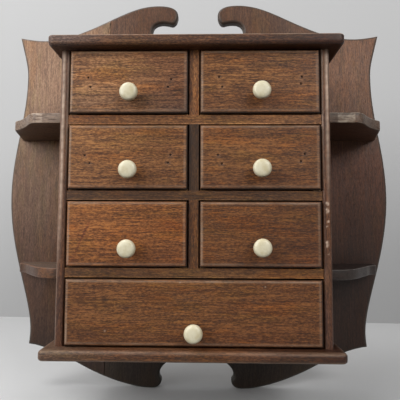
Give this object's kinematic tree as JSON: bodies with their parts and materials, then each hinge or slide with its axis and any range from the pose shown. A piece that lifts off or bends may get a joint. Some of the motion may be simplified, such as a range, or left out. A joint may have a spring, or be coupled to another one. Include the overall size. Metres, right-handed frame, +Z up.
{
  "type": "spice drawer cabinet",
  "caption": "Wall-hung wooden spice cabinet: small drawers with round knobs in a case, on a scrolled backboard with ogee side shelves.",
  "frame": {"origin": "on the wall face of the backboard, at the middle of the case's width and height", "axes": "+Z up, +Y into the wall, the drawers face -Y, +X to the right of someone who faces them"},
  "size_m": [0.417, 0.1272, 0.4263],
  "materials": {
    "back_wood": "dark brown stain, worn satin, vertical grain",
    "case_wood": "dark brown stain, worn satin, rubbed edges",
    "rail_wood": "warm brown stain, satin",
    "front_wood": "warm brown stain, satin, horizontal grain",
    "box_wood": "unfinished inside wood, darkened with age",
    "knob": "cream glaze, satin",
    "iron": "dull dark steel"
  },
  "bodies": {
    "cabinet": {"backboard_left": "back_wood", "backboard_centre": "back_wood", "backboard_right": "back_wood", "side_left": "case_wood", "side_right": "case_wood", "top_board": "case_wood", "bottom_board": "case_wood", "partition_upper": "rail_wood", "partition_middle": "rail_wood", "partition_lower": "rail_wood", "divider_upper": "rail_wood", "divider_middle": "rail_wood", "divider_lower": "rail_wood", "shelf_upper_left": "case_wood", "shelf_upper_right": "case_wood", "shelf_lower_left": "case_wood", "shelf_lower_right": "case_wood", "case_nails": "iron"},
    "wide_drawer": {"wide_drawer_front": "front_wood", "wide_drawer_sides": "box_wood", "wide_drawer_back": "box_wood", "wide_drawer_bottom": "box_wood", "wide_knob": "knob", "wide_knob_screw": "iron"},
    "third_left_drawer": {"third_left_drawer_front": "front_wood", "third_left_drawer_sides": "box_wood", "third_left_drawer_back": "box_wood", "third_left_drawer_bottom": "box_wood", "third_left_knob": "knob", "third_left_knob_screw": "iron"},
    "third_right_drawer": {"third_right_drawer_front": "front_wood", "third_right_drawer_sides": "box_wood", "third_right_drawer_back": "box_wood", "third_right_drawer_bottom": "box_wood", "third_right_knob": "knob", "third_right_knob_screw": "iron"},
    "second_left_drawer": {"second_left_drawer_front": "front_wood", "second_left_drawer_sides": "box_wood", "second_left_drawer_back": "box_wood", "second_left_drawer_bottom": "box_wood", "second_left_knob": "knob", "second_left_knob_screw": "iron"},
    "second_right_drawer": {"second_right_drawer_front": "front_wood", "second_right_drawer_sides": "box_wood", "second_right_drawer_back": "box_wood", "second_right_drawer_bottom": "box_wood", "second_right_knob": "knob", "second_right_knob_screw": "iron"},
    "top_left_drawer": {"top_left_drawer_front": "front_wood", "top_left_drawer_sides": "box_wood", "top_left_drawer_back": "box_wood", "top_left_drawer_bottom": "box_wood", "top_left_knob": "knob", "top_left_knob_screw": "iron"},
    "top_right_drawer": {"top_right_drawer_front": "front_wood", "top_right_drawer_sides": "box_wood", "top_right_drawer_back": "box_wood", "top_right_drawer_bottom": "box_wood", "top_right_knob": "knob", "top_right_knob_screw": "iron"}
  },
  "joints": [
    {"name": "wide_drawer_slide", "type": "slide", "parent": "cabinet", "child": "wide_drawer", "axis": [0, -1, 0], "range_m": [0, 0.085]},
    {"name": "third_left_drawer_slide", "type": "slide", "parent": "cabinet", "child": "third_left_drawer", "axis": [0, -1, 0], "range_m": [0, 0.085]},
    {"name": "third_right_drawer_slide", "type": "slide", "parent": "cabinet", "child": "third_right_drawer", "axis": [0, -1, 0], "range_m": [0, 0.085]},
    {"name": "second_left_drawer_slide", "type": "slide", "parent": "cabinet", "child": "second_left_drawer", "axis": [0, -1, 0], "range_m": [0, 0.085]},
    {"name": "second_right_drawer_slide", "type": "slide", "parent": "cabinet", "child": "second_right_drawer", "axis": [0, -1, 0], "range_m": [0, 0.085]},
    {"name": "top_left_drawer_slide", "type": "slide", "parent": "cabinet", "child": "top_left_drawer", "axis": [0, -1, 0], "range_m": [0, 0.085]},
    {"name": "top_right_drawer_slide", "type": "slide", "parent": "cabinet", "child": "top_right_drawer", "axis": [0, -1, 0], "range_m": [0, 0.085]}
  ]
}
